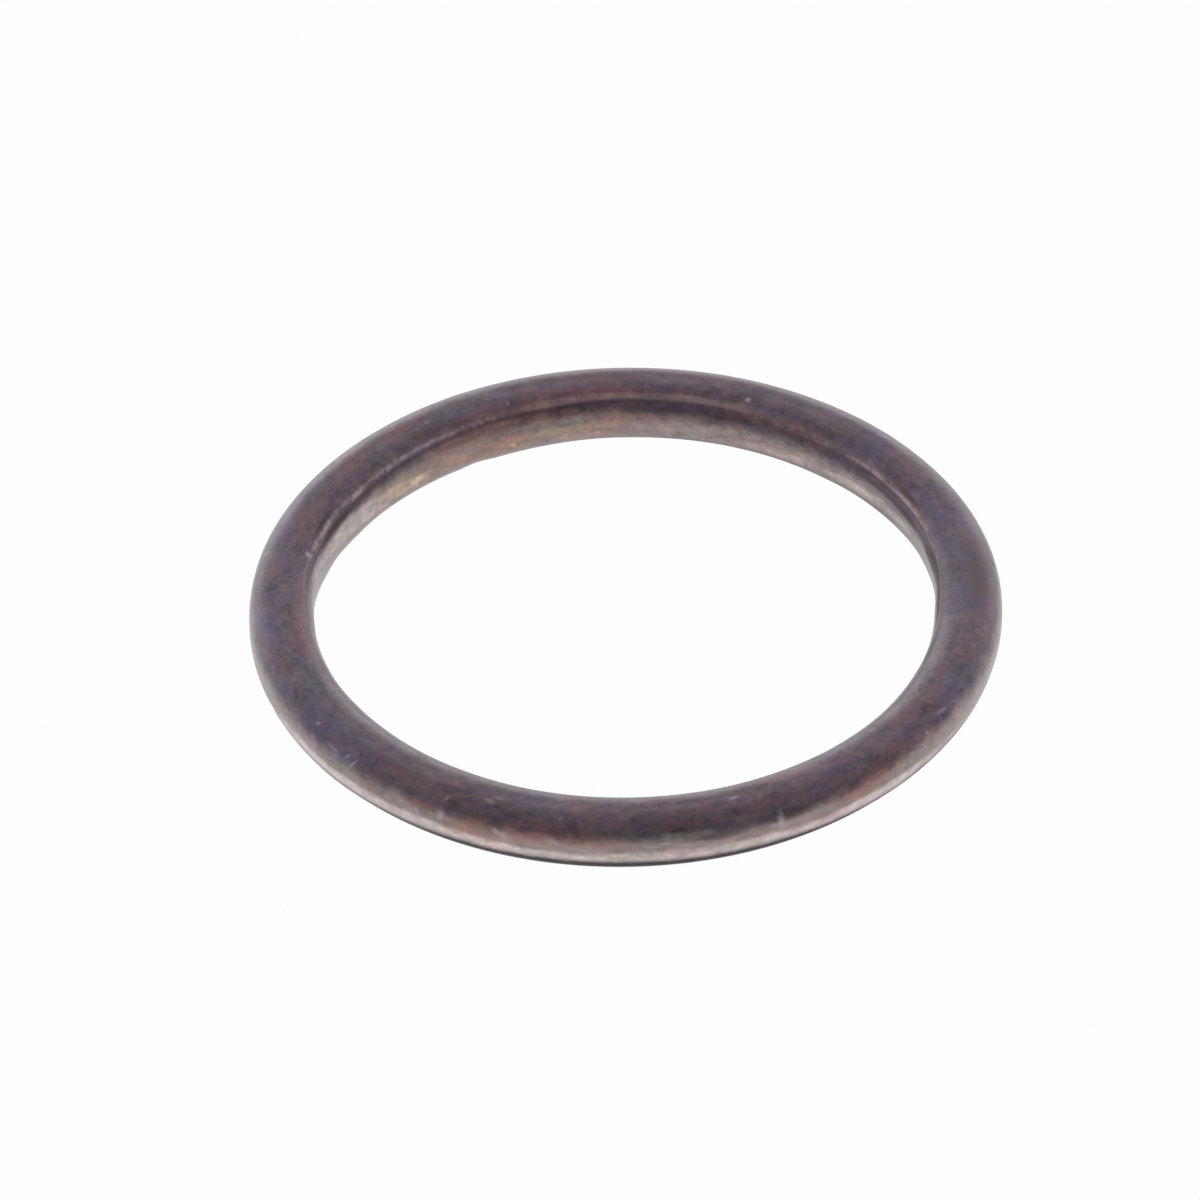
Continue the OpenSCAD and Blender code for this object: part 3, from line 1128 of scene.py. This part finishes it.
def floor_material(studio, sizes):
    """A white floor that glows to the camera and in the metal, but not in the shadow under the ring."""
    material = bpy.data.materials.new("white_floor")
    material.use_nodes = True
    bench = Bench(material.node_tree)
    place = bench.out(bench.node("ShaderNodeTexCoord"), "Object")
    shifted = bench.vector("SUBTRACT", place, studio.shadow_shift)
    from_axis = bench.vector("LENGTH", shifted, result="Value")
    ring_r, half_width = (sizes.bore_r + sizes.rim_r) / 2, (sizes.rim_r - sizes.bore_r) / 2
    beside = (abs(from_axis - ring_r) - half_width) / MM
    edge, fringe, blur = studio.shadow_edge / MM, studio.shadow_fringe / MM, SHADOW_BLUR / 2
    rays = bench.node("ShaderNodeLightPath")
    glossy, passing = bench.out(rays, "Is Glossy Ray"), bench.out(rays, "Is Transmission Ray")
    mirrored = bench.math("MAXIMUM", glossy, passing)
    in_bore = bench.fade_out(from_axis, sizes.bore_r, sizes.rim_r)
    lit_floor = bench.fade(beside - in_bore * BORE_SHADOW, -edge - blur, -edge + blur)
    lit_mirror = bench.fade(beside + in_bore * BORE_FRINGE, -edge / 2, fringe)
    glow = lit_floor * bench.out(rays, "Is Camera Ray") + lit_mirror * mirrored
    shaded = bench.node("ShaderNodeBsdfDiffuse", values={"Color": rgba(studio.floor_colour)})
    lit = bench.node("ShaderNodeEmission", values={"Color": rgba(studio.floor_colour), "Strength": 1.0})
    mixed = bench.node("ShaderNodeMixShader", values={0: glow, 1: bench.out(shaded), 2: bench.out(lit)})
    bench.node("ShaderNodeOutputMaterial", values={"Surface": bench.out(mixed)})
    return material


def set_floor(studio, sizes):
    """Lays the floor at the level of the ring's lower face."""
    bm = bmesh.new()
    bmesh.ops.create_grid(bm, x_segments=1, y_segments=1, size=studio.floor_size / 2)
    floor = add_mesh("studio_floor", bm)
    floor.data.materials.append(floor_material(studio, sizes))


def set_world(studio):
    """Soft light all round, brightest opposite the camera and dimmest low down on the camera's side."""
    world = bpy.data.worlds.new("studio_light")
    world.use_nodes = True
    bpy.context.scene.world = world
    bench = Bench(world.node_tree)
    direction = bench.out(bench.node("ShaderNodeTexCoord"), "Generated")
    height = bench.out(bench.node("ShaderNodeSeparateXYZ", values={0: direction}), "Z")
    to_camera = (0, -math.cos(studio.elevation), math.sin(studio.elevation))
    away = (0.5 - bench.dot(direction, to_camera) * 0.5) ** SKY_FADE
    sky = bench.mix(away, rgba(studio.near_sky), rgba(studio.far_sky))
    brightest = (-math.sin(studio.light_turn), math.cos(studio.light_turn), 0)
    far_share = bench.dot(direction, brightest) * 0.5 + 0.5
    horizon = bench.mix(far_share, rgba(studio.near_horizon), rgba(studio.far_horizon))
    colour = bench.mix((1 - abs(height)) ** HORIZON_FADE, sky, horizon)
    light = bench.node("ShaderNodeBackground", values={"Color": colour, "Strength": 1.0})
    bench.node("ShaderNodeOutputWorld", values={"Surface": bench.out(light)})


def set_camera(studio, middle):
    """Aims the camera a little beside the ring's middle, as far as the settings say."""
    data = bpy.data.cameras.new("camera")
    data.lens = studio.lens
    data.sensor_width = SENSOR_WIDTH
    data.clip_end = FARTHEST_SEEN
    camera = bpy.data.objects.new("camera", data)
    bpy.context.scene.collection.objects.link(camera)
    turned = Matrix.Rotation(QUARTER - studio.elevation, 4, "X") @ Matrix.Rotation(studio.roll, 4, "Z")
    aim = turned @ Vector((-studio.aim_left, studio.aim_up, studio.distance))
    camera.matrix_world = Matrix.Translation(middle + aim) @ turned
    bpy.context.scene.camera = camera


# The add-on

class GASKET_OT_roll_ring(bpy.types.Operator):
    """Roll the gasket ring from its sheet, and give it its worn, heat-tinted surface"""

    bl_idname = "gasket.roll_ring"
    bl_label = "Roll the ring"

    def execute(self, context):
        sizes, finish = context.scene.gasket_sizes, context.scene.gasket_finish
        bm = bmesh.new()
        reaches = draw_section(bm, sizes)
        sweep_ring(bm, sizes.sector_slices)
        sheet = Sheet(bm, sizes, reaches.whole)
        sheet.stray()
        sheet.press()
        sheet.paint()
        sheet.unroll()
        for face in bm.faces:
            face.smooth = True
        ring = add_mesh("copper_ring", bm)
        ring.data.materials.append(make_copper(finish, reaches, sheet.ring_r))
        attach(ring, BODY)
        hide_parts(NODE)
        return {"FINISHED"}


class GASKET_OT_set_studio(bpy.types.Operator):
    """Lay the white floor, light the studio softly and set the camera"""

    bl_idname = "gasket.set_studio"
    bl_label = "Set the studio"

    def execute(self, context):
        studio, sizes = context.scene.gasket_studio, context.scene.gasket_sizes
        low, high = cad_box
        set_floor(studio, sizes)
        set_world(studio)
        set_camera(studio, (low + high) / 2)
        context.scene.view_settings.view_transform = "Standard"
        return {"FINISHED"}


class GASKET_PT_sidebar(bpy.types.Panel):
    """The ring's and the studio's buttons and values"""

    bl_idname = "GASKET_PT_sidebar"
    bl_label = "Gasket ring"
    bl_space_type = "VIEW_3D"
    bl_region_type = "UI"
    bl_category = "Gasket"

    def draw(self, context):
        scene = context.scene
        self.layout.operator(GASKET_OT_roll_ring.bl_idname)
        self.layout.operator(GASKET_OT_set_studio.bl_idname)
        for group in (scene.gasket_sizes, scene.gasket_finish, scene.gasket_studio):
            box = self.layout.box()
            for name in group.__annotations__:
                box.prop(group, name)


CLASSES = (
    RingSizes,
    CopperFinish,
    StudioSettings,
    GASKET_OT_roll_ring,
    GASKET_OT_set_studio,
    GASKET_PT_sidebar,
)


def register():
    for cls in CLASSES:
        bpy.utils.register_class(cls)
    bpy.types.Scene.gasket_sizes = bpy.props.PointerProperty(type=RingSizes)
    bpy.types.Scene.gasket_finish = bpy.props.PointerProperty(type=CopperFinish)
    bpy.types.Scene.gasket_studio = bpy.props.PointerProperty(type=StudioSettings)


def unregister():
    del bpy.types.Scene.gasket_studio
    del bpy.types.Scene.gasket_finish
    del bpy.types.Scene.gasket_sizes
    for cls in reversed(CLASSES):
        bpy.utils.unregister_class(cls)


def main():
    register()
    bpy.ops.gasket.roll_ring()
    bpy.ops.gasket.set_studio()


if __name__ == "__main__":
    main()
